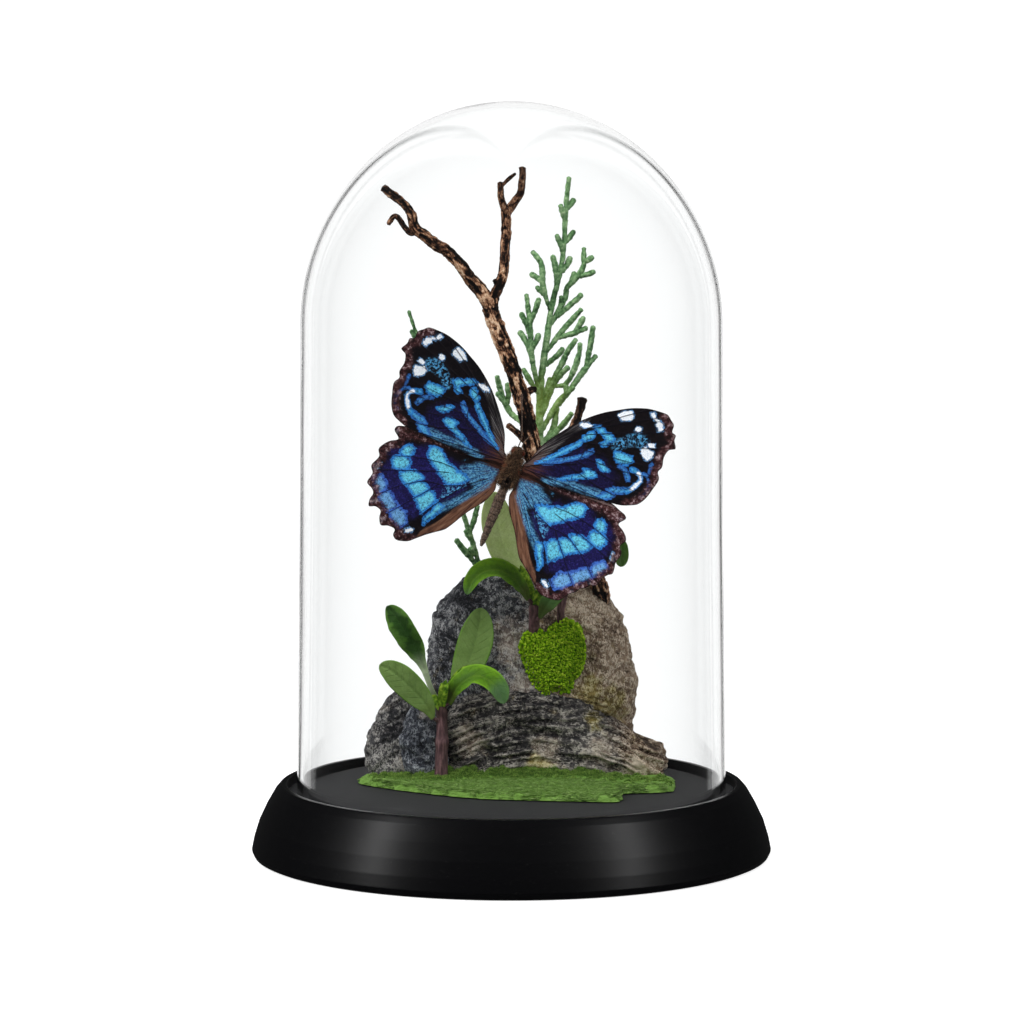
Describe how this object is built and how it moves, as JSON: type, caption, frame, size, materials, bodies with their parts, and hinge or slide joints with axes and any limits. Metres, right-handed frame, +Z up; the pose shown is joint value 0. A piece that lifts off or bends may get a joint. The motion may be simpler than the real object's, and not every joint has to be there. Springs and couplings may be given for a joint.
{
  "type": "insect in glass dome",
  "caption": "Blue-banded butterfly on a forked twig with stones, sprouts, moss and conifer sprigs, under a clear glass dome on a round black base.",
  "frame": {"origin": "centre of the base's flat underside, on the surface that it stands on", "axes": "+Z up, along the dome's axis; +Y away from the front; +X to the right, seen from the front with the butterfly's back towards the viewer"},
  "size_m": [0.1392, 0.1392, 0.2012],
  "materials": {
    "black_lacquer": "satin black",
    "dome_glass": "clear",
    "grey_rock": "rough, grey to ochre",
    "mat_moss": "short dry moss",
    "clump_moss": "bright cushion moss",
    "twig_bark": "furrowed bark",
    "conifer_green": "dry scaly leaves",
    "purple_stem": "smooth dry stem",
    "green_leaf": "leathery leaf",
    "pale_leaf": "matte leaf",
    "insect_brown": "hairy dry insect body",
    "wing_blue": "scaled wing with blue bands"
  },
  "bodies": {
    "root": {"base": "black_lacquer", "glass_dome": "dome_glass", "boulder": "grey_rock", "ledge_stone": "grey_rock", "left_front_stone": "grey_rock", "left_back_stone": "grey_rock", "moss_mat": "mat_moss", "moss_clump": "clump_moss", "twig_trunk": "twig_bark", "twig_left_fork": "twig_bark", "twig_right_fork": "twig_bark", "conifer_sprig_tall": "conifer_green", "conifer_sprig_left": "conifer_green", "front_sprout_stem": "purple_stem", "rear_sprout_stem": "purple_stem", "side_sprout_stem": "purple_stem", "side_leaf": "green_leaf", "front_leaf_upper": "green_leaf", "front_leaf_lower": "pale_leaf", "front_leaf_pale": "pale_leaf", "front_leaf_arching": "green_leaf", "rear_leaf_pale": "pale_leaf", "rear_leaf_arching": "green_leaf", "rear_leaf_right": "green_leaf", "butterfly_body": "insect_brown", "left_forewing": "wing_blue", "right_forewing": "wing_blue", "left_hindwing": "wing_blue", "right_hindwing": "wing_blue"}
  },
  "joints": []
}
